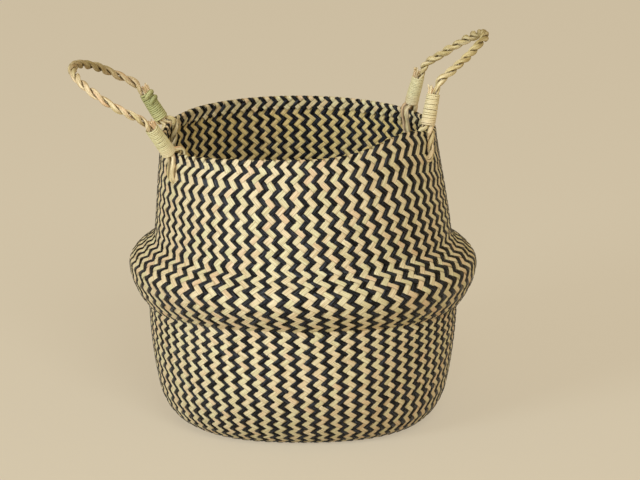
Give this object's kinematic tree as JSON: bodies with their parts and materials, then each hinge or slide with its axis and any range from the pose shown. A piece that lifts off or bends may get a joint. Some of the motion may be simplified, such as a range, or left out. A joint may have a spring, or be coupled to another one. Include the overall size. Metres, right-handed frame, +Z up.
{
  "type": "belly basket",
  "caption": "Round woven basket with a folded-in belly that presses down, an open mouth with a turned-in rim and rope handles that swing, for storage or as a plant pot cover.",
  "frame": {"origin": "centre of the underside, on the surface the basket stands on", "axes": "+Z up along the basket's axis, -Y towards the camera side, +X to the right seen from the camera side, with one handle at -X and the other at +X"},
  "size_m": [0.4321, 0.3612, 0.4086],
  "materials": {
    "woven_sedge": "flat plaited sedge strips, black and straw-coloured in a zigzag, satin",
    "rim_hem": "the same strips folded over the edge and tucked back, satin",
    "sedge_rope": "twisted sedge rope, dull and fibrous",
    "whipping": "narrow pale strip wound tightly, satin"
  },
  "bodies": {
    "basket": {"base_panel": "woven_sedge", "lower_wall": "woven_sedge", "belly_fold": "woven_sedge"},
    "neck": {"neck_wall": "woven_sedge", "rim_hem": "rim_hem", "left_front_eye": "sedge_rope", "left_back_eye": "sedge_rope", "right_front_eye": "sedge_rope", "right_back_eye": "sedge_rope"},
    "left_handle": {"left_handle_rope": "sedge_rope", "left_front_whipping": "whipping", "left_front_rope_end": "sedge_rope", "left_back_whipping": "whipping", "left_back_rope_end": "sedge_rope"},
    "right_handle": {"right_handle_rope": "sedge_rope", "right_front_whipping": "whipping", "right_front_rope_end": "sedge_rope", "right_back_whipping": "whipping", "right_back_rope_end": "sedge_rope"}
  },
  "joints": [
    {"name": "neck_press", "type": "slide", "parent": "basket", "child": "neck", "axis": [0, 0, 1], "range_m": [-0.04, 0.012], "deforming": ["belly_fold"]},
    {"name": "left_handle_swing", "type": "hinge", "parent": "neck", "child": "left_handle", "pos_m": [-0.13377, -0.01129, 0.29962], "axis": [0.0869, -0.9934, -0.075], "range_deg": [-81, 50]},
    {"name": "right_handle_swing", "type": "hinge", "parent": "neck", "child": "right_handle", "pos_m": [0.11767, 0.0134, 0.31121], "axis": [-0.1087, 0.9924, -0.0569], "range_deg": [-60, 72]}
  ]
}
